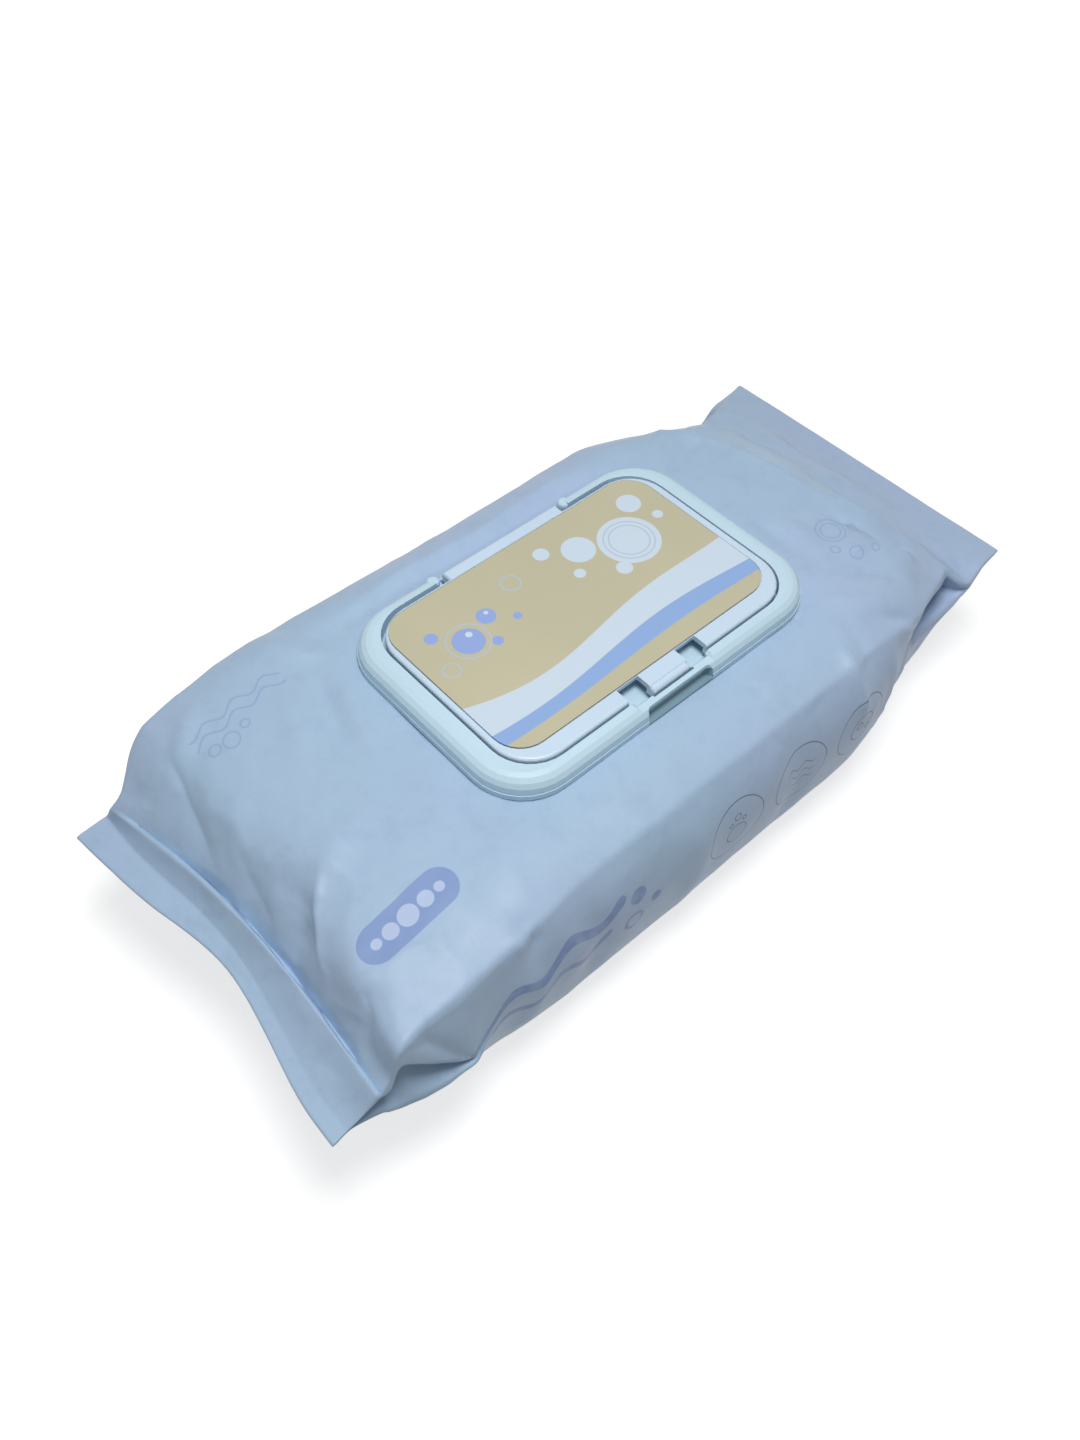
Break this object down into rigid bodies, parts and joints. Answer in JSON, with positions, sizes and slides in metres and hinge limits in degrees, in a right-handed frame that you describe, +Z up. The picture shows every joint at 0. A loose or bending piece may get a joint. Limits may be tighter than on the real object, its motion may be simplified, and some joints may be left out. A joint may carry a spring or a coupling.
{
  "type": "wet wipes pack",
  "caption": "Soft film pouch of wet wipes with flat sealed ends and tucked corners, and a glued-on dispenser with a flip-top lid that snaps shut.",
  "frame": {"origin": "middle of the pack's flat underside, on the surface that it lies on", "axes": "+X along the pack's length towards the seal at the picture's right, +Y across it towards the lid's hinge, +Z up through the lid"},
  "size_m": [0.2464, 0.1196, 0.0618],
  "materials": {
    "film": "matte printed film, light blue",
    "base_plastic": "satin moulded plastic, pale cyan",
    "lid_plastic": "satin moulded plastic, blue white",
    "label": "satin printed label, sand with white and blue bands",
    "glue": "milky hot-melt glue",
    "peel_film": "satin peelable film"
  },
  "bodies": {
    "pack": {"film_pouch": "film", "glue_ring": "glue", "lid_base": "base_plastic", "peel_seal": "peel_film"},
    "flap": {"lid": "lid_plastic", "lid_label": "label"}
  },
  "joints": [
    {"name": "lid_hinge", "type": "hinge", "parent": "pack", "child": "flap", "pos_m": [0.0015, 0.0342, 0.058], "axis": [-1, 0, 0], "range_deg": [0, 115]}
  ]
}
